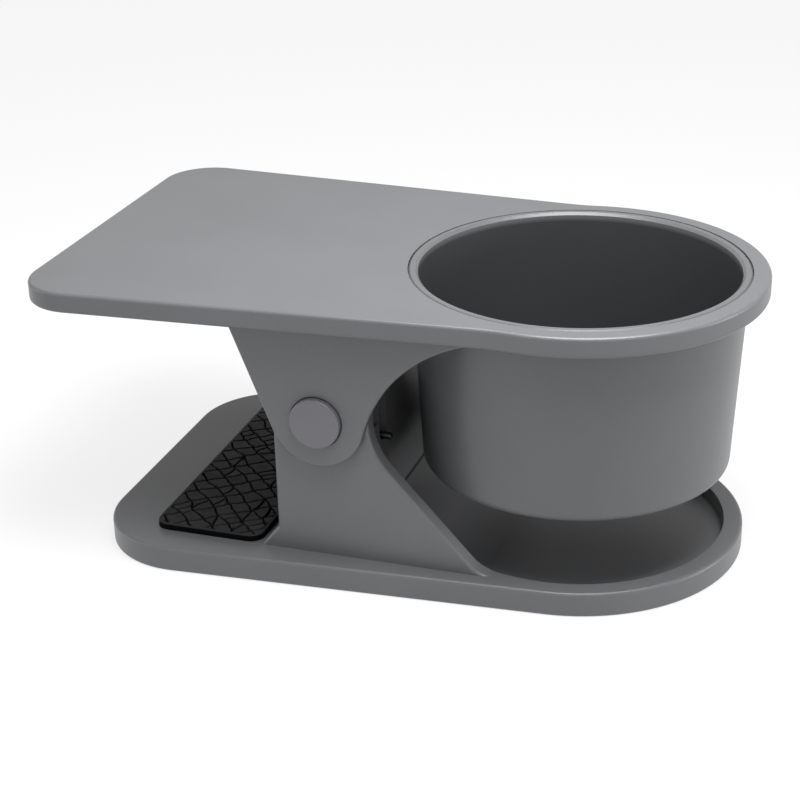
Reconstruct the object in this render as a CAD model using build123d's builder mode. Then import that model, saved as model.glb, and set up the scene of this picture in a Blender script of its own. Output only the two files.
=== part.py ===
from build123d import *
import os
from math import acos, atan2, cos, degrees, hypot, radians, sin, sqrt, tan

# Desk clamp cup holder. Two moulded arms are hinged on one axle: a sprung clamp opens at one end,
# and a drink sits in the ring at the other. Millimetres, +Z up, +X towards the cup.
# The origin is on the floor, under the middle of the closed outline.

# ---- Overall sizes -------------------------------------------------------------------------
overall_length = 186.0
overall_height = 78.5
edge_round = 0.9

# ---- Upper arm: a tapered plate that ends in the cup ring -----------------------------------
plate_thickness = 5.5
ring_radius = 49.2
jaw_end_width = 111.0
ring_neck_width = 95.5
plate_corner = 14.0
neck_blend = 40.0

# ---- Cup: a drop-in bucket that hangs in the ring by its flange -----------------------------
cup_mouth_radius = 42.0
cup_wall = 1.9
cup_taper = 2.7
cup_underside = 24.7
cup_floor = 2.2
cup_bottom_round = 2.2
cup_inner_round = 1.5
flange_overhang = 0.6
flange_thickness = 2.4
flange_bevel = 0.5
lip_slope = 0.7
seat_clearance = 0.15

# ---- Lower arm: base plate with a saucer under the cup --------------------------------------
base_reach = 124.0
base_jaw_width = 107.6
base_end_radius = 45.7
base_thickness = 6.9
base_corner = 24.0
saucer_radius = 40.7
saucer_floor = 2.5

# ---- Hinge ----------------------------------------------------------------------------------
pivot_reach = 57.4
pivot_height = 46.5
upper_lobe = 12.7
lower_lobe = 13.1
upper_cheek_span = 90.4
upper_cheek = 2.4
lower_cheek = 4.2
cheek_gap = 0.3
cheek_edge = 0.7
cheek_root = 24.0
sweep_radius = 39.0
lower_blend = 20.0
slope_angle = 42.6
slope_offset = 4.4
slope_run_out = 8.0
foot_flare = 5.0
foot_rise = 6.0
lower_cheek_edge = 0.9

# ---- Post between the lower cheeks ----------------------------------------------------------
post_wall = 3.0
web_reach = 45.6
web_foot_height = 13.8
web_ledge = 0.7
web_lean = 0.8
web_rise = 0.8
web_round = 0.8
ledge_round = 0.5
ramp_length = 22.0
ramp_run_out = 22.0
ramp_blend = 30.0
stop_drop = 2.5

# ---- Axle, caps, sleeve and springs ---------------------------------------------------------
axle_radius = 2.5
axle_chamfer = 0.3
axle_play = 0.06
sleeve_wall = 1.7
sleeve_play = 0.1
sleeve_end_gap = 0.3
cap_radius = 6.8
cap_proud = 1.7
cap_recess = 1.0
cap_gap = 0.35
cap_edge = 0.5
cap_pocket = 1.2
wire = 2.0
coil_play = 0.6
coil_turns = 3
coil_pitch = 2.2
coil_inset = 7.1
upper_leg_angle = 68.0
hook_drop = 12.1
hook_reach = 1.0
hook_bend = 2.0
leg_start_gap = 0.3
joint_ball = 1.12
leg_touch = 0.1
slot_width = 5.4
slot_depth = 6.0
upper_slot_drop = 7.0
leg_rib = 1.2
leg_rib_depth = 3.0
leg_rib_length = 6.0
leg_rib_gap = 0.5

# ---- Grip pads ------------------------------------------------------------------------------
pad_seat = 0.8
lower_pad_proud = 1.8
upper_pad_proud = 1.8
pad_corner = 4.0
pad_edge = 0.4
lower_pad_length = 31.0
lower_pad_width = 84.6
lower_pad_margin = 16.8
upper_pad_length = 48.0
upper_pad_width = 84.6
upper_pad_margin = 7.0
pad_fit = 0.1

# ---- Places worked out from the sizes above -------------------------------------------------
ring_x = overall_length / 2 - ring_radius
jaw_end_x = -overall_length / 2
plate_under = overall_height - plate_thickness
base_end_x = ring_x - base_reach
pivot_x = ring_x - pivot_reach
cup_body_radius = cup_mouth_radius + cup_wall
flange_radius = cup_body_radius + flange_overhang
seat_radius = cup_body_radius + seat_clearance
upper_inner = upper_cheek_span / 2 - upper_cheek
lower_outer = upper_inner - cheek_gap
lower_inner = lower_outer - lower_cheek
stop_x = pivot_x - lower_lobe
web_x = ring_x - web_reach
web_face_x = web_x - web_ledge
web_top_x = web_face_x - web_lean
web_top_z = pivot_height + web_rise
sleeve_bore = axle_radius + sleeve_play
sleeve_radius = sleeve_bore + sleeve_wall
coil_radius = sleeve_radius + coil_play + wire / 2
upper_leg_y = lower_inner - coil_inset - wire / 2
coil_angle = 360 * coil_turns + upper_leg_angle - 90
coil_length = coil_pitch * coil_angle / 360
lower_leg_y = upper_leg_y - coil_length
cap_face = upper_cheek_span / 2 + cap_proud
cap_seat = upper_cheek_span / 2 - cap_recess


def around(centre, radius, angle):
    """The point at that angle, in degrees, on a circle about centre."""
    return (centre[0] + radius * cos(radians(angle)), centre[1] + radius * sin(radians(angle)))


def heading(start, end):
    """The angle of the line from start to end, in degrees."""
    return degrees(atan2(end[1] - start[1], end[0] - start[0]))


pivot = (pivot_x, pivot_height)
upper_leg_start = around(pivot, coil_radius, upper_leg_angle - 90)
upper_leg_top = plate_under - leg_touch - wire / 2 / cos(radians(upper_leg_angle))
upper_leg_run = (upper_leg_top - upper_leg_start[1]) / tan(radians(upper_leg_angle))
upper_leg_end = (upper_leg_start[0] + upper_leg_run, upper_leg_top)
hook_z = pivot_height - hook_drop
slot_bottom = hook_z - wire / 2 - leg_touch

# ---- Front upper cheek: a lobe round the axle that sweeps up into the plate ------------------
cheek_corner = (pivot_x - cheek_root, plate_under)
sweep_rise = plate_under - sweep_radius - pivot_height
sweep_centre = (pivot_x + sqrt((sweep_radius + upper_lobe) ** 2 - sweep_rise**2), plate_under - sweep_radius)
corner_distance = hypot(cheek_corner[0] - pivot[0], cheek_corner[1] - pivot[1])
lobe_start = heading(pivot, cheek_corner) + degrees(acos(upper_lobe / corner_distance))
lobe_end = heading(pivot, sweep_centre) + 360
sweep_start = lobe_end - 180
root_overlap = plate_thickness / 2

with BuildPart() as upper_cheek_plate:
    with BuildSketch(Plane.XZ.offset(upper_inner)):
        with BuildLine():
            Line(cheek_corner, around(pivot, upper_lobe, lobe_start))
            ThreePointArc(
                around(pivot, upper_lobe, lobe_start),
                around(pivot, upper_lobe, (lobe_start + lobe_end) / 2),
                around(pivot, upper_lobe, lobe_end),
            )
            ThreePointArc(
                around(sweep_centre, sweep_radius, sweep_start),
                around(sweep_centre, sweep_radius, (sweep_start + 90) / 2),
                around(sweep_centre, sweep_radius, 90),
            )
            Polyline(
                (sweep_centre[0], plate_under),
                (sweep_centre[0], plate_under + root_overlap),
                (cheek_corner[0], plate_under + root_overlap),
                cheek_corner,
            )
        make_face()
    extrude(amount=upper_cheek)
    outer_face = upper_cheek_plate.faces().sort_by(Axis.Y)[0]
    fillet(outer_face.edges().filter_by(lambda edge: edge.center().Z < plate_under), cheek_edge)

# ---- Upper arm ------------------------------------------------------------------------------
with BuildPart() as upper_arm:
    with BuildSketch(Plane.XY.offset(plate_under)) as plate_outline:
        with BuildLine():
            Polyline(
                (jaw_end_x, -jaw_end_width / 2),
                (ring_x, -ring_neck_width / 2),
                (ring_x, ring_neck_width / 2),
                (jaw_end_x, jaw_end_width / 2),
                close=True,
            )
        make_face()
        with Locations((ring_x, 0)):
            Circle(ring_radius)
        fillet(plate_outline.vertices().group_by(Axis.X)[0], plate_corner)
        necks = plate_outline.vertices().filter_by(lambda v: pivot_x < v.X < ring_x)
        fillet(necks, neck_blend)
    extrude(amount=plate_thickness)
    fillet(upper_arm.edges().group_by(Axis.Z)[-1], edge_round)
    fillet(upper_arm.edges().group_by(Axis.Z)[0], edge_round)
    # two cheeks, one each side
    add(upper_cheek_plate.part)
    mirror(upper_cheek_plate.part, about=Plane.XZ)
    # rebate and hole that the cup drops into
    with BuildSketch(Plane.XY.offset(overall_height)):
        with Locations((ring_x, 0)):
            Circle(flange_radius + seat_clearance)
    extrude(amount=-flange_thickness, mode=Mode.SUBTRACT)
    with BuildSketch(Plane.XY.offset(overall_height)):
        with Locations((ring_x, 0)):
            Circle(seat_radius)
    extrude(amount=pivot_height - overall_height, mode=Mode.SUBTRACT)
    # recess for the grip pad under the jaw
    with BuildSketch(Plane.XY.offset(plate_under)):
        with Locations((jaw_end_x + upper_pad_margin + upper_pad_length / 2, 0)):
            RectangleRounded(upper_pad_length + 2 * pad_fit, upper_pad_width + 2 * pad_fit, pad_corner)
    extrude(amount=pad_seat, mode=Mode.SUBTRACT)
    # ribs that hold each spring's upper leg from both sides
    with BuildSketch(Plane.XY.offset(plate_under)):
        with GridLocations(0, 2 * upper_leg_y, 1, 2):
            with Locations((upper_leg_end[0] - wire / 2, 0)):
                with GridLocations(0, wire + 2 * leg_rib_gap + leg_rib, 1, 2):
                    Rectangle(leg_rib_length, leg_rib)
    extrude(amount=-leg_rib_depth)
    # holes that grip the axle, and the recess round each cap
    with BuildSketch(Plane.XZ):
        with Locations(pivot):
            Circle(axle_radius)
    extrude(amount=upper_cheek_span, both=True, mode=Mode.SUBTRACT)
    for side in (-1, 1):
        with BuildSketch(Plane.XZ.offset(side * upper_cheek_span / 2)):
            with Locations(pivot):
                Circle(cap_radius + cap_gap)
        extrude(amount=-side * cap_recess, mode=Mode.SUBTRACT)
upper_arm.part.label = "upper_arm"

# ---- Cup ------------------------------------------------------------------------------------
cup_axis = Axis((ring_x, 0, 0), (0, 0, 1))
cup_section = Plane(origin=(ring_x, 0, 0), x_dir=(1, 0, 0), z_dir=(0, -1, 0))
flange_under = overall_height - flange_thickness

with BuildPart() as cup_insert:
    with BuildSketch(cup_section):
        with BuildLine():
            Polyline(
                (0, cup_underside),
                (cup_body_radius - cup_taper, cup_underside),
                (cup_body_radius, flange_under),
                (flange_radius, flange_under),
                (flange_radius, overall_height),
                (cup_mouth_radius + lip_slope, overall_height),
                (cup_mouth_radius, overall_height - lip_slope),
                (cup_mouth_radius - cup_taper, cup_underside + cup_floor),
                (0, cup_underside + cup_floor),
                close=True,
            )
        make_face()
    revolve(axis=cup_axis)
    rims = cup_insert.edges().filter_by(GeomType.CIRCLE)
    fillet(rims.group_by(Axis.Z)[0], cup_bottom_round)
    fillet(rims.group_by(Axis.Z)[1], cup_inner_round)
    chamfer(rims.group_by(Axis.Z)[-1].sort_by(SortBy.RADIUS)[-1], flange_bevel)
cup_insert.part.label = "cup_insert"

# ---- Front lower cheek: a lobe round the axle above a long slope to the base ----------------
slope_run = (sin(radians(slope_angle)), -cos(radians(slope_angle)))
slope_out = (cos(radians(slope_angle)), sin(radians(slope_angle)))
blend_along = sqrt((lower_lobe + lower_blend) ** 2 - (slope_offset + lower_blend) ** 2)


def on_slope(along, out=slope_offset):
    """The point that far down the slope and that far out from a parallel line through the pivot."""
    return (
        pivot[0] + out * slope_out[0] + along * slope_run[0],
        pivot[1] + out * slope_out[1] + along * slope_run[1],
    )


blend_centre = on_slope(blend_along, slope_offset + lower_blend)
blend_start = heading(blend_centre, pivot)
blend_end = heading(blend_centre, on_slope(blend_along))
slope_end = on_slope((pivot[1] + slope_offset * slope_out[1] - base_thickness) / -slope_run[1])
lobe_top = heading(pivot, blend_centre)
cheek_sunk = saucer_floor / 2

with BuildPart() as lower_cheek_plate:
    with BuildSketch(Plane.XZ.offset(lower_inner)) as lower_cheek_outline:
        with BuildLine():
            Polyline(
                (stop_x, pivot_height),
                (stop_x, base_thickness + foot_rise),
                (stop_x - foot_flare, base_thickness),
                (stop_x - foot_flare, cheek_sunk),
                (slope_end[0] + slope_run_out, cheek_sunk),
                (slope_end[0] + slope_run_out, base_thickness),
                slope_end,
                on_slope(blend_along),
            )
            ThreePointArc(
                around(blend_centre, lower_blend, blend_end % 360),
                around(blend_centre, lower_blend, (blend_start % 360 + blend_end % 360) / 2),
                around(blend_centre, lower_blend, blend_start % 360),
            )
            ThreePointArc(
                around(pivot, lower_lobe, lobe_top),
                around(pivot, lower_lobe, (lobe_top + 180) / 2),
                (stop_x, pivot_height),
            )
        make_face()
        run_out = lower_cheek_outline.vertices().filter_by(
            lambda v: abs(v.X - slope_end[0]) < edge_round and v.Y > cheek_sunk + edge_round
        )
        fillet(run_out, slope_run_out)
    extrude(amount=lower_cheek)
    outer_face = lower_cheek_plate.faces().sort_by(Axis.Y)[0]
    fillet(outer_face.edges().filter_by(lambda edge: edge.center().Z > base_thickness), lower_cheek_edge)

# ---- Lower arm ------------------------------------------------------------------------------
base_corner_point = (base_end_x, base_jaw_width / 2)
base_corner_angle = heading((ring_x, 0), base_corner_point)
base_tangent = base_corner_angle - degrees(acos(base_end_radius / hypot(base_reach, base_jaw_width / 2)))
base_side_end = around((ring_x, 0), base_end_radius, base_tangent)

with BuildPart() as lower_arm:
    with BuildSketch() as base_outline:
        with BuildLine():
            Polyline(
                (base_end_x, -base_jaw_width / 2),
                (base_side_end[0], -base_side_end[1]),
                base_side_end,
                base_corner_point,
                close=True,
            )
        make_face()
        with Locations((ring_x, 0)):
            Circle(base_end_radius)
        fillet(base_outline.vertices().group_by(Axis.X)[0], base_corner)
    extrude(amount=base_thickness)
    fillet(lower_arm.edges().group_by(Axis.Z)[-1], edge_round)
    fillet(lower_arm.edges().group_by(Axis.Z)[0], edge_round)
    # seat for the grip pad
    with BuildSketch(Plane.XY.offset(base_thickness)):
        with Locations((base_end_x + lower_pad_margin + lower_pad_length / 2, 0)):
            RectangleRounded(lower_pad_length + 2 * pad_fit, lower_pad_width + 2 * pad_fit, pad_corner)
    extrude(amount=-pad_seat, mode=Mode.SUBTRACT)
    # two cheeks, one each side
    add(lower_cheek_plate.part)
    mirror(lower_cheek_plate.part, about=Plane.XZ)
    # saucer under the cup, open between the cheeks up to the post
    with BuildSketch(Plane.XY.offset(web_foot_height)):
        with Locations((ring_x, 0)):
            Circle(saucer_radius)
        with Locations((web_x, 0)):
            Rectangle(web_reach, 2 * lower_inner, align=(Align.MIN, Align.CENTER))
    extrude(amount=saucer_floor - web_foot_height, mode=Mode.SUBTRACT)
    # the post's cup side: a ramp up from the saucer, a ledge, and the web wall
    with BuildSketch(Plane.XZ) as web_section:
        with BuildLine():
            Polyline(
                (web_top_x - post_wall, saucer_floor / 2),
                (web_x + ramp_length + ramp_run_out, saucer_floor / 2),
                (web_x + ramp_length + ramp_run_out, saucer_floor),
                (web_x + ramp_length, saucer_floor),
                (web_x, web_foot_height),
                (web_face_x, web_foot_height),
                (web_top_x, web_top_z),
                (web_top_x - post_wall, web_top_z),
                close=True,
            )
        make_face()
        ramp_foot = web_section.vertices().sort_by_distance((web_x + ramp_length, saucer_floor))[0]
        fillet(ramp_foot, ramp_blend)
        ledge_edge = web_section.vertices().sort_by_distance((web_x, web_foot_height))[0]
        fillet(ledge_edge, ledge_round)
        web_edges = web_section.vertices().group_by(Axis.Y)[-1]
        fillet(web_edges, web_round)
    extrude(amount=lower_inner, both=True)
    # the post's jaw side: a wall that the desk's edge stops against
    with BuildSketch(Plane.XZ):
        with BuildLine():
            Polyline(
                (stop_x + post_wall, cheek_sunk),
                (stop_x + post_wall, pivot_height - stop_drop),
                (stop_x, pivot_height - stop_drop),
                (stop_x, base_thickness + foot_rise),
                (stop_x - foot_flare, base_thickness),
                (stop_x - foot_flare, cheek_sunk),
                close=True,
            )
        make_face()
    extrude(amount=lower_inner, both=True)
    # slots in the web for each spring's hook, and beside them for its upper leg
    for side in (-1, 1):
        slot_middle = slot_bottom + slot_width / 2
        with BuildSketch(Plane.YZ.offset(web_x)):
            with Locations((side * lower_leg_y, slot_middle)):
                Circle(slot_width / 2)
                Rectangle(slot_width, pivot_height, align=(Align.CENTER, Align.MIN))
            with Locations((side * upper_leg_y, pivot_height - upper_slot_drop)):
                Rectangle(slot_width, pivot_height, align=(Align.CENTER, Align.MIN))
        extrude(amount=-slot_depth, mode=Mode.SUBTRACT)
    # running holes for the axle
    with BuildSketch(Plane.XZ):
        with Locations(pivot):
            Circle(axle_radius + axle_play)
    extrude(amount=lower_outer, both=True, mode=Mode.SUBTRACT)
lower_arm.part.label = "lower_arm"

# ---- Axle, sleeve and caps ------------------------------------------------------------------
with BuildPart() as pivot_axle:
    with BuildSketch(Plane.XZ):
        with Locations(pivot):
            Circle(axle_radius)
    extrude(amount=cap_seat + cap_pocket, both=True)
    chamfer(pivot_axle.edges().filter_by(GeomType.CIRCLE), axle_chamfer)
pivot_axle.part.label = "pivot_axle"

with BuildPart() as spring_sleeve:
    with BuildSketch(Plane.XZ):
        with Locations(pivot):
            Circle(sleeve_radius)
            Circle(sleeve_bore, mode=Mode.SUBTRACT)
    extrude(amount=lower_inner - sleeve_end_gap, both=True)
spring_sleeve.part.label = "spring_sleeve"

with BuildPart() as front_axle_cap:
    with BuildSketch(Plane.XZ.offset(cap_seat)):
        with Locations(pivot):
            Circle(cap_radius)
    extrude(amount=cap_recess + cap_proud)
    fillet(front_axle_cap.edges().sort_by(Axis.Y)[0], cap_edge)
    with BuildSketch(Plane.XZ.offset(cap_seat)):
        with Locations(pivot):
            Circle(axle_radius)
    extrude(amount=cap_pocket, mode=Mode.SUBTRACT)
front_axle_cap.part.label = "front_axle_cap"

with BuildPart() as rear_axle_cap:
    mirror(front_axle_cap.part, about=Plane.XZ)
rear_axle_cap.part.label = "rear_axle_cap"

# ---- Torsion springs: a coil round the sleeve, an upper leg and a hooked lower leg ----------
upper_leg_foot = Vector(upper_leg_start[0], -upper_leg_y, upper_leg_start[1])
upper_leg_tip = Vector(upper_leg_end[0], -upper_leg_y, upper_leg_end[1])
lower_leg_head = Vector(pivot_x + coil_radius, -lower_leg_y, pivot_height)
hook_head = lower_leg_head - Vector(0, 0, leg_start_gap)
hook_corner = Vector(pivot_x + coil_radius, -lower_leg_y, hook_z)
hook_tip = Vector(web_x + hook_reach, -lower_leg_y, hook_z)

coil_centre = Vector(pivot_x, -upper_leg_y, pivot_height)
coil_start = Plane(origin=coil_centre, x_dir=upper_leg_foot - coil_centre, z_dir=(0, 1, 0))
coil_line = coil_start * Helix(pitch=coil_pitch, height=coil_length, radius=coil_radius)

with BuildPart() as front_torsion_spring:
    with BuildSketch(Plane(origin=coil_line @ 0, z_dir=coil_line % 0)):
        Circle(wire / 2)
    sweep(path=coil_line, is_frenet=True)
    # each leg starts a little way off the coil, inside a ball that joins the two
    with Locations(upper_leg_foot, lower_leg_head):
        Sphere(joint_ball * wire / 2)
    upper_leg_line = upper_leg_tip - upper_leg_foot
    with BuildSketch(Plane(origin=upper_leg_foot, z_dir=upper_leg_line).offset(leg_start_gap)):
        Circle(wire / 2)
    extrude(amount=upper_leg_line.length - leg_start_gap)
    with BuildLine() as hook_line:
        FilletPolyline(hook_head, hook_corner, hook_tip, radius=hook_bend)
    with BuildSketch(Plane(origin=hook_head, z_dir=hook_corner - hook_head)):
        Circle(wire / 2)
    sweep(path=hook_line.line)
front_torsion_spring.part.label = "front_torsion_spring"

with BuildPart() as rear_torsion_spring:
    mirror(front_torsion_spring.part, about=Plane.XZ)
rear_torsion_spring.part.label = "rear_torsion_spring"

# ---- Grip pads ------------------------------------------------------------------------------
with BuildPart() as lower_grip_pad:
    with BuildSketch(Plane.XY.offset(base_thickness - pad_seat)):
        with Locations((base_end_x + lower_pad_margin + lower_pad_length / 2, 0)):
            RectangleRounded(lower_pad_length, lower_pad_width, pad_corner - pad_fit)
    extrude(amount=pad_seat + lower_pad_proud)
    fillet(lower_grip_pad.edges().group_by(Axis.Z)[-1], pad_edge)
lower_grip_pad.part.label = "lower_grip_pad"

with BuildPart() as upper_grip_pad:
    with BuildSketch(Plane.XY.offset(plate_under - upper_pad_proud)):
        with Locations((jaw_end_x + upper_pad_margin + upper_pad_length / 2, 0)):
            RectangleRounded(upper_pad_length, upper_pad_width, pad_corner - pad_fit)
    extrude(amount=pad_seat + upper_pad_proud)
    fillet(upper_grip_pad.edges().group_by(Axis.Z)[0], pad_edge)
upper_grip_pad.part.label = "upper_grip_pad"

# ---- Files ----------------------------------------------------------------------------------
os.makedirs("parts", exist_ok=True)
export_step(upper_arm.part, "parts/upper_arm.step")
export_step(cup_insert.part, "parts/cup_insert.step")
export_step(upper_grip_pad.part, "parts/upper_grip_pad.step")
export_step(pivot_axle.part, "parts/pivot_axle.step")
export_step(front_axle_cap.part, "parts/front_axle_cap.step")
export_step(rear_axle_cap.part, "parts/rear_axle_cap.step")
export_step(spring_sleeve.part, "parts/spring_sleeve.step")
export_step(front_torsion_spring.part, "parts/front_torsion_spring.step")
export_step(rear_torsion_spring.part, "parts/rear_torsion_spring.step")
export_step(lower_arm.part, "parts/lower_arm.step")
export_step(lower_grip_pad.part, "parts/lower_grip_pad.step")
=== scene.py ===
import math
import random

import bpy
from mathutils import Matrix, Vector


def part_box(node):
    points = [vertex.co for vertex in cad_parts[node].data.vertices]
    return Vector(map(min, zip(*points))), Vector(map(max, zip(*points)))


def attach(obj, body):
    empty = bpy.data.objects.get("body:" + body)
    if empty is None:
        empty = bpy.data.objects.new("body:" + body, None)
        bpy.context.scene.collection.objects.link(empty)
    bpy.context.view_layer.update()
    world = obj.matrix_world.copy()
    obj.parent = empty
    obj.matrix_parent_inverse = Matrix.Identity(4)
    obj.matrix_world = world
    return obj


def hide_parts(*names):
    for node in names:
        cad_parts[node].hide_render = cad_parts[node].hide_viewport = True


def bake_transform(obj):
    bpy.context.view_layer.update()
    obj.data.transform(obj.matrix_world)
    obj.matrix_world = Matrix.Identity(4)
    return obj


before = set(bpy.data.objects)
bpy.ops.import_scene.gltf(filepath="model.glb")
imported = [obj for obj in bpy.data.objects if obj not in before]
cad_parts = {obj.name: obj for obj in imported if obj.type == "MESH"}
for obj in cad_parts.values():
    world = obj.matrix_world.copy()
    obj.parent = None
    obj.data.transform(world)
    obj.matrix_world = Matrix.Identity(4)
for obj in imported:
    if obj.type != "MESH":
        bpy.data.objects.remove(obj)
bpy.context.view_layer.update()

MM = 0.001
sharp_angle = 50.0

# ---- Camera and light, metres and degrees -------------------------------------------------------
camera_place = (0.1451, -0.4396, 0.2471)
camera_azimuth = 19.0
camera_elevation = 24.65
camera_roll = -1.28
camera_lens = 82.9
sensor_width = 36.0
light_target = (0.0, 0.0, 0.04)
# each softbox: where it stands, its width and height in metres, and its power in watts
top_softbox = ((0.07, -0.06, 0.34), 0.20, 0.20, 2.0)
left_softbox = ((-1.20, -0.30, 0.10), 0.5, 0.2, 1.6)
right_softbox = ((1.15, 0.25, 0.12), 0.5, 0.3, 6.0)
world_level = 0.66
floor_reach = 5.0

# ---- Colours, linear ----------------------------------------------------------------------------
arm_grey = (0.105, 0.107, 0.112)
cup_grey = (0.092, 0.094, 0.098)
cap_grey = (0.120, 0.120, 0.130)
rubber_black = (0.0135, 0.0135, 0.0140)
# the next colour is painted shade: a much darker rubber for the pad's groove floors and outer side
# band
groove_shade_black = (0.0015, 0.0015, 0.0015)
steel_grey = (0.46, 0.46, 0.45)
spring_grey = (0.070, 0.070, 0.072)
sleeve_grey = (0.020, 0.020, 0.021)
floor_white = (0.20, 0.20, 0.20)
floor_glow = 0.76
floor_roughness = 0.9
floor_specular = 0.1

# ---- Surfaces -----------------------------------------------------------------------------------
# each noise: its scale, its detail, and its roughness where it isn't a half
cloud_noise = (38.0, 3.0)
flow_noise = (9.0, 1.0)
speck_noise = (2600.0, 1.0)
grain_noise = (5200.0, 2.0)
dust_noise = (420.0, 4.0, 0.7)
crumb_noise = (3000.0, 3.0, 0.6)
streak_noise = (1500.0, 3.0)
patch_noise = (120.0, 2.0)
pit_scale = 2300.0
noise_middle = (0.3, 0.7)
# each tone: how dark and how light the colour gets; each bump: its strength, and its depth in metres
plastic_tone = (0.955, 1.045)
plastic_mottle = (0.75, 1.25)
plastic_bump = (0.22, 0.00005)
plastic_roughness = 0.37
plastic_smoother = 0.04
plastic_rougher = 0.05
plastic_specular = 0.5
plastic_ior = 1.49
cap_roughness = 0.42
cap_grain = 0.7
sleeve_roughness = 0.38
rubber_tone = (0.7, 1.5)
rubber_mottle = (0.45, 1.45)
rubber_bump = (0.35, 0.00006)
rubber_roughness = (0.55, 0.75)
pad_specular = 0.22
# the groove rubber's lower sheen is painted shade too
groove_shade_specular = 0.05
steel_tone = (0.82, 1.1)
steel_bump = (0.12, 0.00003)
steel_roughness = (0.24, 0.42)

# ---- Cup, millimetres ---------------------------------------------------------------------------
# the cup's mouth, wall and taper below only place the painted shade inside the cup
cup_mouth = 42.0
cup_wall = 1.9
cup_taper = 2.7
cup_shade_start = 1.2
cup_inside_shade_level = 0.40    # painted shade: how much of the outside's tone and sheen the inside keeps

# ---- Grip pads, millimetres ---------------------------------------------------------------------
pad_corner = 3.9
pad_rim = 0.75
pad_rim_round = 0.22
pad_rim_drop = 0.02
rim_overlap = 0.2
groove_width = 0.50
groove_depth = 0.8
cell_draft = 0.06
cell_bevel = 0.16
cell_hold = 0.07
cell_foot = 0.02
round_share = 0.3
least_cell = 2.0
least_edge = 0.12
least_fold = 0.2
least_lean = 0.5
steep_angle = -46.0
shallow_angle = 36.0
steep_pitch = 5.6
shallow_pitch = 4.7
corner_wander = 0.75
edge_bow = 0.3
split_share = 0.34
split_bow = 0.6
# each bend of a split: how far along it is, and its share of the bow
split_bends = ((0.33, 1.0), (0.67, 0.6))
pattern_margin = 8.0
lower_pattern = 5
upper_pattern = 227

# ---- Torsion springs, millimetres ---------------------------------------------------------------
wire = 2.0
wire_chamfer = 0.35
joint_swell = 0.12
coil_turns = 3
upper_leg_angle = 68.0
hook_bend = 2.0
hook_length = 6.9
leg_steps = 24
coil_step = 8
hook_step = 15


# ---- Small helpers ------------------------------------------------------------------------------
def new_material(name):
    """An empty node material with its shader and output, and a helper that adds nodes to it."""
    material = bpy.data.materials.new(name)
    material.use_nodes = True
    tree = material.node_tree
    tree.nodes.clear()
    output = tree.nodes.new("ShaderNodeOutputMaterial")
    shader = tree.nodes.new("ShaderNodeBsdfPrincipled")
    tree.links.new(shader.outputs["BSDF"], output.inputs["Surface"])

    def add(kind, inputs=None, **settings):
        node = tree.nodes.new(kind)
        for key, value in settings.items():
            setattr(node, key, value)
        for key, value in (inputs or {}).items():
            if isinstance(value, bpy.types.NodeSocket):
                tree.links.new(value, node.inputs[key])
            else:
                node.inputs[key].default_value = value
        return node

    def link(source, target):
        tree.links.new(source, shader.inputs[target])

    return material, shader, add, link


def rgba(colour, level=1.0):
    """A colour made lighter or darker, with full cover."""
    return (colour[0] * level, colour[1] * level, colour[2] * level, 1.0)


def noise(add, place, scale, detail, roughness=0.5):
    """A noise pattern, from nought to one."""
    return add(
        "ShaderNodeTexNoise",
        {"Vector": place, "Scale": scale, "Detail": detail, "Roughness": roughness},
    ).outputs["Fac"]


def remap(add, value, low, high, start=0.0, end=1.0):
    """A value between start and end, moved to lie between low and high."""
    return add(
        "ShaderNodeMapRange",
        {"Value": value, "From Min": start, "From Max": end, "To Min": low, "To Max": high},
    ).outputs["Result"]


def toned(add, share, colour, tone):
    """A colour that goes from its darker to its lighter tone."""
    mix = add("ShaderNodeMix", {"Factor": share}, data_type="RGBA")
    mix.inputs["A"].default_value = rgba(colour, tone[0])
    mix.inputs["B"].default_value = rgba(colour, tone[1])
    return mix.outputs["Result"]


def bumped(add, height, strength, depth):
    """A normal that shows a height pattern as relief."""
    inputs = {"Height": height, "Strength": strength, "Distance": depth}
    return add("ShaderNodeBump", inputs).outputs["Normal"]


def combine(add, first, second, operation):
    """Two values, added, multiplied or compared."""
    return add("ShaderNodeMath", {0: first, 1: second}, operation=operation).outputs[0]


# ---- Materials ----------------------------------------------------------------------------------
def cup_shade_mask(add, place):
    """Painted shade inside the cup: one on the cup's outside and rim, and a lower level within the
    middle of its tapered wall, from a little below the mouth.
    """
    low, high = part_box("cup_insert")
    mouth = ((low.x + high.x) / 2, (low.y + high.y) / 2, high.z)
    from_mouth = add("ShaderNodeVectorMath", {0: place, 1: mouth}, operation="SUBTRACT")
    parts = add("ShaderNodeSeparateXYZ", {"Vector": from_mouth.outputs["Vector"]}).outputs
    flat = add("ShaderNodeCombineXYZ", {"X": parts["X"], "Y": parts["Y"]}).outputs["Vector"]
    radius = add("ShaderNodeVectorMath", {0: flat}, operation="LENGTH").outputs["Value"]
    slope = cup_taper * MM / (high.z - low.z)
    at_mouth = add(
        "ShaderNodeMath",
        {0: parts["Z"], 1: -slope, 2: radius},
        operation="MULTIPLY_ADD",
    ).outputs[0]
    middle = (cup_mouth + cup_wall / 2) * MM
    inside = combine(add, at_mouth, middle, "LESS_THAN")
    rim = -cup_shade_start * MM
    shade_fade = remap(add, parts["Z"], 1.0, 0.0, 2 * rim, rim)
    return remap(add, combine(add, inside, shade_fade, "MULTIPLY"), 1.0, cup_inside_shade_level)


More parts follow.
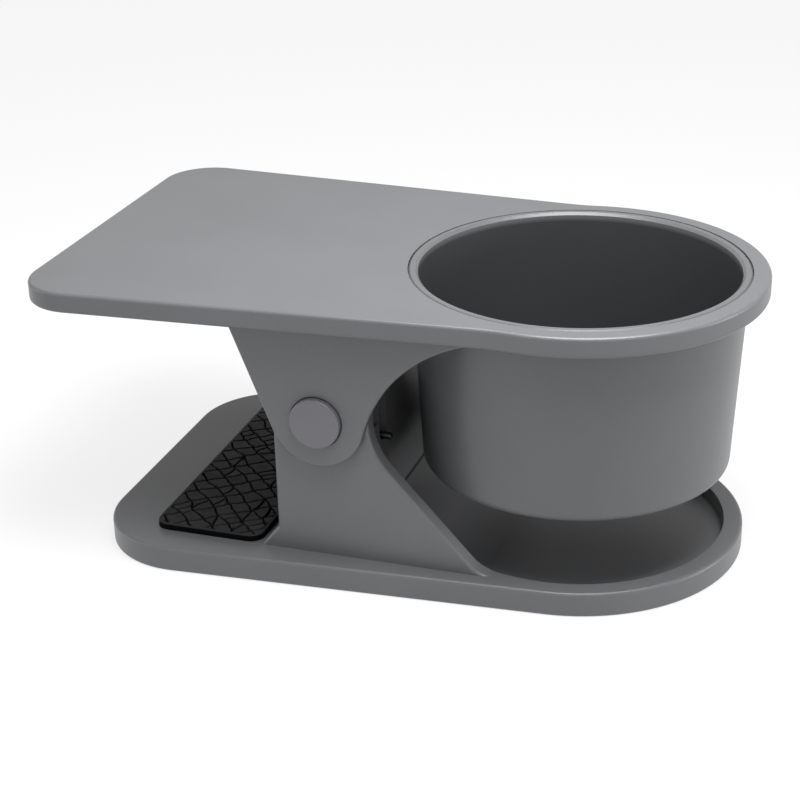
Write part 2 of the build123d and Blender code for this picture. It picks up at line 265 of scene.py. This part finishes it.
def moulded_plastic(name, colour, rough=plastic_roughness, grain=1.0, level=None):
    """Matte moulded plastic: a fine spark-eroded grain, faint flow clouds and a soft sheen, with
    painted shade on its colour and sheen where a level mask is given.
    """
    material, shader, add, link = new_material(name)
    place = add("ShaderNodeTexCoord").outputs["Object"]
    clouds = noise(add, place, *cloud_noise)
    flow = noise(add, place, *flow_noise)
    speck = noise(add, place, *speck_noise)
    mottle = combine(add, clouds, speck, "ADD")
    base = toned(add, remap(add, mottle, 0.0, 1.0, *plastic_mottle), colour, plastic_tone)
    shader.inputs["Specular IOR Level"].default_value = plastic_specular
    # painted shade: a level mask, where given, darkens the colour and lowers the specular level
    if level:
        here = level(add, place)
        base = add("ShaderNodeVectorMath", {0: base, "Scale": here}, operation="SCALE").outputs[0]
        link(remap(add, here, 0.0, plastic_specular), "Specular IOR Level")
    link(base, "Base Color")
    smoothest, roughest = rough - plastic_smoother, rough + plastic_rougher
    link(remap(add, flow, smoothest, roughest, *noise_middle), "Roughness")
    pits = add(
        "ShaderNodeTexVoronoi",
        {"Vector": place, "Scale": pit_scale},
        feature="SMOOTH_F1",
    ).outputs["Distance"]
    height = combine(add, pits, noise(add, place, *grain_noise), "MULTIPLY")
    strength, depth = plastic_bump
    link(bumped(add, height, strength * grain, depth), "Normal")
    shader.inputs["IOR"].default_value = plastic_ior
    return material


def rubber(name, colour, specular):
    """Matte rubber: each raised cell a little different in tone, with a dusty fine grain."""
    material, shader, add, link = new_material(name)
    place = add("ShaderNodeTexCoord").outputs["Object"]
    island = add("ShaderNodeNewGeometry").outputs["Random Per Island"]
    dust = noise(add, place, *dust_noise)
    mottle = combine(add, island, dust, "ADD")
    share = remap(add, mottle, 0.0, 1.0, *rubber_mottle)
    link(toned(add, share, colour, rubber_tone), "Base Color")
    link(remap(add, dust, *rubber_roughness, *noise_middle), "Roughness")
    shader.inputs["Specular IOR Level"].default_value = specular
    link(bumped(add, noise(add, place, *crumb_noise), *rubber_bump), "Normal")
    return material


def drawn_steel(name, colour):
    """Drawn wire and ground rod: fine streaks, uneven tone and a soft gloss."""
    material, shader, add, link = new_material(name)
    place = add("ShaderNodeTexCoord").outputs["Object"]
    streak = noise(add, place, *streak_noise)
    patch = noise(add, place, *patch_noise)
    link(toned(add, patch, colour, steel_tone), "Base Color")
    link(remap(add, streak, *steel_roughness, *noise_middle), "Roughness")
    link(bumped(add, streak, *steel_bump), "Normal")
    shader.inputs["Metallic"].default_value = 1.0
    return material


arm_plastic = moulded_plastic("arm_plastic", arm_grey)
# the cup's material has painted shade inside the cup
cup_plastic_with_shade = moulded_plastic("cup_plastic_with_shade", cup_grey, level=cup_shade_mask)
cap_plastic = moulded_plastic("cap_plastic", cap_grey, rough=cap_roughness, grain=cap_grain)
sleeve_plastic = moulded_plastic("sleeve_plastic", sleeve_grey, rough=sleeve_roughness)
pad_rubber = rubber("pad_rubber", rubber_black, pad_specular)
# the groove material is painted shade: darker rubber with less sheen
groove_shade_rubber = rubber("groove_shade_rubber", groove_shade_black, groove_shade_specular)
axle_steel = drawn_steel("axle_steel", steel_grey)
spring_steel = drawn_steel("spring_steel", spring_grey)

finishes = {
    "upper_arm": arm_plastic,
    "lower_arm": arm_plastic,
    "cup_insert": cup_plastic_with_shade,
    "front_axle_cap": cap_plastic,
    "rear_axle_cap": cap_plastic,
    "pivot_axle": axle_steel,
    "spring_sleeve": sleeve_plastic,
}
for node, material in finishes.items():
    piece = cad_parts[node]
    piece.data.materials.clear()
    piece.data.materials.append(material)


# ---- Meshes -------------------------------------------------------------------------------------
def mesh_object(name, points, faces, materials, face_materials=None):
    """A mesh object from points in millimetres."""
    mesh = bpy.data.meshes.new(name)
    mesh.from_pydata([Vector(p) * MM for p in points], [], faces)
    for material in materials:
        mesh.materials.append(material)
    if face_materials:
        mesh.polygons.foreach_set("material_index", face_materials)
    mesh.update()
    piece = bpy.data.objects.new(name, mesh)
    bpy.context.scene.collection.objects.link(piece)
    return piece


def smooth(piece):
    """Smooth shading, with sharp edges kept crisp."""
    for polygon in piece.data.polygons:
        polygon.use_smooth = True
    piece.data.set_sharp_from_angle(angle=math.radians(sharp_angle))


def rounded_rectangle(low, high, corner, steps=8):
    """Points anticlockwise round a rectangle with rounded corners."""
    points = []
    for x, y, turn in ((1, 1, 0), (-1, 1, 90), (-1, -1, 180), (1, -1, 270)):
        centre_x = high[0] - corner if x > 0 else low[0] + corner
        centre_y = high[1] - corner if y > 0 else low[1] + corner
        for step in range(steps + 1):
            angle = math.radians(turn + 90 * step / steps)
            across, along = corner * math.cos(angle), corner * math.sin(angle)
            points.append((centre_x + across, centre_y + along))
    return points


def direction(angle):
    """The unit vector at an angle in degrees."""
    return Vector((math.cos(math.radians(angle)), math.sin(math.radians(angle))))


def sideways(line):
    """The unit vector a quarter turn to the left of a line."""
    return Vector((-line.y, line.x)).normalized()


def clip(polygon, region):
    """The part of a polygon inside a convex region, both anticlockwise."""
    for k, start in enumerate(region):
        end = region[(k + 1) % len(region)]
        side = [
            (end[0] - start[0]) * (p[1] - start[1]) - (end[1] - start[1]) * (p[0] - start[0])
            for p in polygon
        ]
        kept = []
        for i, p in enumerate(polygon):
            j = (i + 1) % len(polygon)
            q = polygon[j]
            if side[i] >= 0:
                kept.append(p)
            if side[i] * side[j] < 0:
                share = side[i] / (side[i] - side[j])
                kept.append((p[0] + share * (q[0] - p[0]), p[1] + share * (q[1] - p[1])))
        polygon = kept
        if len(polygon) < 3:
            return []
    return polygon


def cleaned(polygon):
    """The polygon without points that crowd the one before."""
    kept = []
    for p in polygon:
        if not kept or math.dist(p, kept[-1]) > least_edge:
            kept.append(p)
    while len(kept) > 2 and math.dist(kept[0], kept[-1]) <= least_edge:
        kept.pop()
    return kept


def area(polygon):
    """The area inside a polygon, positive when its points run anticlockwise."""
    return sum(
        p[0] * q[1] - q[0] * p[1] for p, q in zip(polygon, polygon[1:] + polygon[:1])
    ) / 2


def inset(polygon, amount):
    """The polygon with its sides moved in, and less so where a corner is very sharp."""
    moved = []
    count = len(polygon)
    for i, p in enumerate(polygon):
        before = Vector(polygon[i - 1])
        after = Vector(polygon[(i + 1) % count])
        here = Vector(p)
        first_side = sideways(here - before)
        normal = first_side + sideways(after - here)
        if normal.length < least_fold:
            normal = first_side
        normal = normal.normalized()
        lean = max(normal.dot(first_side), least_lean)
        moved.append(tuple(here + normal * (amount / lean)))
    return moved


def settled(polygon, amount):
    """The polygon without the points that would turn an edge round when it is moved in that far."""
    polygon = list(polygon)
    while len(polygon) > 2:
        moved = inset(polygon, amount)
        turned = []
        for i, p in enumerate(polygon):
            j = (i + 1) % len(polygon)
            before = (polygon[j][0] - p[0], polygon[j][1] - p[1])
            after = (moved[j][0] - moved[i][0], moved[j][1] - moved[i][1])
            if before[0] * after[0] + before[1] * after[1] <= 0:
                turned.append((math.hypot(*before), j))
        if not turned:
            return polygon
        polygon.pop(min(turned)[1])
    return []


def cracked_cells(low, high, seed):
    """Lozenge cells between two families of wavy grooves that cross the pad diagonally."""
    luck = random.Random(seed)
    steep = direction(steep_angle) * steep_pitch
    shallow = direction(shallow_angle) * shallow_pitch
    centre = Vector(((low[0] + high[0]) / 2, (low[1] + high[1]) / 2))
    reach = int((high[1] - low[1]) / 4)    # cells each way from the centre, past the pad's ends
    corners, middles = {}, {}

    def around(width):
        return luck.uniform(-width, width)

    def corner(i, j):
        if (i, j) not in corners:
            wander = Vector((around(corner_wander), around(corner_wander)))
            corners[i, j] = centre + steep * i + shallow * j + wander
        return corners[i, j]

    def edge(a, b):
        """Points from corner a to corner b, a included, bowed the same way for both its cells."""
        key = (min(a, b), max(a, b))
        if key not in middles:
            middles[key] = [around(edge_bow) for _ in range(3)]
        p, q = corner(*key[0]), corner(*key[1])
        across = sideways(q - p)
        line = [p]
        for k, bow in enumerate(middles[key]):
            line.append(p + (q - p) * ((k + 1) / 4) + across * bow)
        line.append(q)
        if key[0] != a:
            line.reverse()
        return [tuple(point) for point in line[:-1]]

    cells = []
    for i in range(-reach, reach):
        for j in range(-reach, reach):
            ring = [(i, j), (i, j + 1), (i + 1, j + 1), (i + 1, j)]
            outline = []
            for k in range(4):
                outline += edge(ring[k], ring[(k + 1) % 4])
            if area(outline) < 0:
                outline.reverse()
            middle = centre + steep * (i + 0.5) + shallow * (j + 0.5)
            is_split = luck.random() < split_share
            start = luck.choice((1, 2, 3))
            bow = around(split_bow)
            beyond = max(
                low[0] - middle.x, middle.x - high[0], low[1] - middle.y, middle.y - high[1]
            )
            if beyond >= pattern_margin:
                continue
            if is_split:
                far = start + len(outline) // 2
                p, q = Vector(outline[start]), Vector(outline[far])
                across = sideways(q - p)
                crack = [
                    tuple(p + (q - p) * share + across * bow * bow_share)
                    for share, bow_share in split_bends
                ]
                cells.append(outline[start : far + 1] + crack[::-1])
                cells.append(outline[far:] + outline[: start + 1] + crack)
            else:
                cells.append(outline)
    return cells


def grip_pad(name, node, body, seed, faces_up):
    """A rubber pad: a slab with a smooth rim, and bevelled cells that stand up between grooves; the
    groove floors and the slab's outer side band get the darker rubber as painted shade.
    """
    corner_low, corner_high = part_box(node)
    low = (corner_low.x / MM, corner_low.y / MM)
    high = (corner_high.x / MM, corner_high.y / MM)
    if faces_up:
        seat, top, up = corner_low.z / MM, corner_high.z / MM, 1
    else:
        seat, top, up = corner_high.z / MM, corner_low.z / MM, -1
    points, faces, kinds = [], [], []

    def ring(outline, z):
        start = len(points)
        points.extend((x, y, z) for x, y in outline)
        return list(range(start, start + len(outline)))

    def wall(lower, upper, kind):
        count = len(lower)
        for k in range(count):
            n = (k + 1) % count
            quad = (lower[k], lower[n], upper[n], upper[k])
            faces.append(quad if up > 0 else quad[::-1])
            kinds.append(kind)

    def cap(loop, kind, outward):
        faces.append(tuple(loop) if outward * up > 0 else tuple(loop[::-1]))
        kinds.append(kind)

    outline = rounded_rectangle(low, high, pad_corner)
    floor_z = top - up * groove_depth
    rim_z = top - up * pad_rim_drop
    slab = []
    for amount, z in (
        (0.0, seat),
        (0.0, rim_z - up * pad_rim_round),
        (pad_rim_round * round_share, rim_z - up * pad_rim_round * round_share),
        (pad_rim_round, rim_z),
        (pad_rim, rim_z),
        (pad_rim, floor_z),
    ):
        slab.append(ring(inset(outline, amount), z))
    # painted shade: the slab's outer side band takes the darker groove rubber
    wall(slab[0], slab[1], 1)
    for lower, upper in zip(slab[1:], slab[2:]):
        wall(lower, upper, 0)
    cap(slab[0], 0, -1)
    # painted shade: the groove floors take the darker groove rubber
    cap(slab[-1], 1, 1)
    half = groove_width / 2
    margin = pad_rim - rim_overlap - half
    region = rounded_rectangle(
        (low[0] + margin, low[1] + margin),
        (high[0] - margin, high[1] - margin),
        pad_corner - margin,
    )
    for cell in cracked_cells(low, high, seed):
        shape = settled(cleaned(clip(cell, region)), half + cell_draft + cell_bevel + cell_hold)
        if len(shape) < 3 or area(shape) < least_cell:
            continue
        rings = []
        for amount, drop in (
            (half, groove_depth + cell_foot),
            (half + cell_draft, cell_bevel),
            (half + cell_draft + cell_bevel * round_share, cell_bevel * round_share),
            (half + cell_draft + cell_bevel, 0.0),
            (half + cell_draft + cell_bevel + cell_hold, 0.0),
        ):
            rings.append(ring(inset(shape, amount), top - up * drop))
        for lower, upper in zip(rings, rings[1:]):
            wall(lower, upper, 0)
        cap(rings[0], 0, -1)
        cap(rings[-1], 0, 1)
    piece = mesh_object(name, points, faces, [pad_rubber, groove_shade_rubber], kinds)
    smooth(piece)
    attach(piece, body)
    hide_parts(node)


grip_pad("lower_grip_pad_tread", "lower_grip_pad", "lower_jaw", lower_pattern, faces_up=True)
grip_pad("upper_grip_pad_tread", "upper_grip_pad", "upper_jaw", upper_pattern, faces_up=False)


# ---- Torsion springs ----------------------------------------------------------------------------
def tube(name, line, radius, material, sides=16):
    """A round wire along a line of points, with chamfered ends."""
    points, faces = [], []
    ahead = (line[1] - line[0]).normalized()
    across = ahead.orthogonal().normalized()
    rings = []
    for k, centre in enumerate(line):
        ahead = (line[min(k + 1, len(line) - 1)] - line[max(k - 1, 0)]).normalized()
        across = (across - ahead * across.dot(ahead)).normalized()
        rings.append((centre, ahead, across, radius))
    first, last = rings[0], rings[-1]
    trim = radius * wire_chamfer
    rings.insert(0, (first[0] - first[1] * trim, first[1], first[2], radius - trim))
    rings.append((last[0] + last[1] * trim, last[1], last[2], radius - trim))
    for centre, ahead, across, size in rings:
        beside = ahead.cross(across)
        for side in range(sides):
            angle = 2 * math.pi * side / sides
            points.append(centre + (across * math.cos(angle) + beside * math.sin(angle)) * size)
    for k in range(len(rings) - 1):
        for side in range(sides):
            turn = (side + 1) % sides
            row, above = k * sides, (k + 1) * sides
            faces.append((row + side, row + turn, above + turn, above + side))
    faces.append(tuple(reversed(range(sides))))
    faces.append(tuple(range((len(rings) - 1) * sides, len(rings) * sides)))
    piece = mesh_object(name, points, faces, [material])
    smooth(piece)
    return piece


def torsion_spring(name, node, side):
    """One fixed wire: the upper leg reaching up to the plate, the coil round the pivot and the
    hooked lower leg.
    """
    axle_low, axle_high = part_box("pivot_axle")
    pivot = (axle_low + axle_high) / 2 / MM
    low, high = (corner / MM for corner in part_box(node))
    radius = pivot.x - low.x - wire / 2
    reach = (abs(low.y), abs(high.y))
    first_y = side * (max(reach) - wire / 2 - joint_swell)
    last_y = side * (min(reach) + wire / 2 + joint_swell)

    def on_coil(angle, y):
        turned = math.radians(angle)
        return Vector((pivot.x + radius * math.cos(turned), y, pivot.z + radius * math.sin(turned)))

    leg_angle = math.radians(upper_leg_angle)
    climb = Vector((math.cos(leg_angle), 0, math.sin(leg_angle)))
    foot = on_coil(upper_leg_angle - 90, first_y)
    leg_length = (high.z - wire / 2 * climb.x - foot.z) / climb.z
    line = [foot + climb * (leg_length * step / leg_steps) for step in range(leg_steps, 0, -1)]
    turn = 360 * coil_turns - (upper_leg_angle - 90)
    steps = int(turn / coil_step)
    for step in range(steps + 1):
        share = step / steps
        along_y = first_y + (last_y - first_y) * share
        line.append(on_coil(upper_leg_angle - 90 + turn * share, along_y))
    hook_x = pivot.x + radius
    bend_z = low.z + wire / 2 + hook_bend
    line.append(Vector((hook_x, last_y, (pivot.z + bend_z) / 2)))
    for angle in range(180, 271, hook_step):
        turned = math.radians(angle)
        out = hook_bend * (1 + math.cos(turned))
        line.append(Vector((hook_x + out, last_y, bend_z + hook_bend * math.sin(turned))))
    line.append(Vector((hook_x + hook_length, last_y, low.z + wire / 2)))
    piece = tube(name, line, wire / 2, spring_steel)
    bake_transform(piece)
    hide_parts(node)


torsion_spring("front_spring_wire", "front_torsion_spring", -1)
torsion_spring("rear_spring_wire", "rear_torsion_spring", 1)


# ---- Studio -------------------------------------------------------------------------------------
def place_camera():
    """The camera at the photograph's viewing angle, with its slight roll."""
    data = bpy.data.cameras.new("camera")
    data.lens = camera_lens
    data.sensor_width = sensor_width
    camera = bpy.data.objects.new("camera", data)
    bpy.context.scene.collection.objects.link(camera)
    azimuth, elevation, roll = (
        math.radians(angle) for angle in (camera_azimuth, camera_elevation, camera_roll)
    )
    forward = Vector(
        (
            -math.sin(azimuth) * math.cos(elevation),
            math.cos(azimuth) * math.cos(elevation),
            -math.sin(elevation),
        )
    )
    level_right = Vector((math.cos(azimuth), math.sin(azimuth), 0))
    level_up = level_right.cross(forward)
    right = level_right * math.cos(roll) + level_up * math.sin(roll)
    up = level_up * math.cos(roll) - level_right * math.sin(roll)
    turned = Matrix((right, up, -forward)).transposed().to_4x4()
    camera.matrix_world = Matrix.Translation(camera_place) @ turned
    bpy.context.scene.camera = camera


def softbox(name, place, width, height, power):
    """A rectangular studio light that faces the object."""
    data = bpy.data.lights.new(name, "AREA")
    data.shape = "RECTANGLE"
    data.size = width
    data.size_y = height
    data.energy = power
    light = bpy.data.objects.new(name, data)
    bpy.context.scene.collection.objects.link(light)
    facing = (Vector(light_target) - Vector(place)).to_track_quat("-Z", "Y")
    light.matrix_world = Matrix.Translation(place) @ facing.to_matrix().to_4x4()


def studio_floor():
    """A plain floor that glows a little, so that it stays white without a heavy shadow."""
    mesh = bpy.data.meshes.new("studio_floor")
    signs = ((-1, -1), (1, -1), (1, 1), (-1, 1))
    corners = [(x * floor_reach, y * floor_reach, 0) for x, y in signs]
    mesh.from_pydata(corners, [], [(0, 1, 2, 3)])
    floor = bpy.data.objects.new("studio_floor", mesh)
    bpy.context.scene.collection.objects.link(floor)
    material, shader, _, _ = new_material("studio_floor")
    shader.inputs["Base Color"].default_value = rgba(floor_white)
    shader.inputs["Roughness"].default_value = floor_roughness
    shader.inputs["Specular IOR Level"].default_value = floor_specular
    shader.inputs["Emission Color"].default_value = rgba((1.0, 1.0, 1.0))
    shader.inputs["Emission Strength"].default_value = floor_glow
    mesh.materials.append(material)


place_camera()
softbox("top_softbox", *top_softbox)
softbox("left_softbox", *left_softbox)
softbox("right_softbox", *right_softbox)
studio_floor()

world = bpy.data.worlds.new("studio")
world.use_nodes = True
background = world.node_tree.nodes["Background"]
background.inputs["Color"].default_value = (1.0, 1.0, 1.0, 1.0)
background.inputs["Strength"].default_value = world_level
bpy.context.scene.world = world
bpy.context.scene.view_settings.view_transform = "Standard"
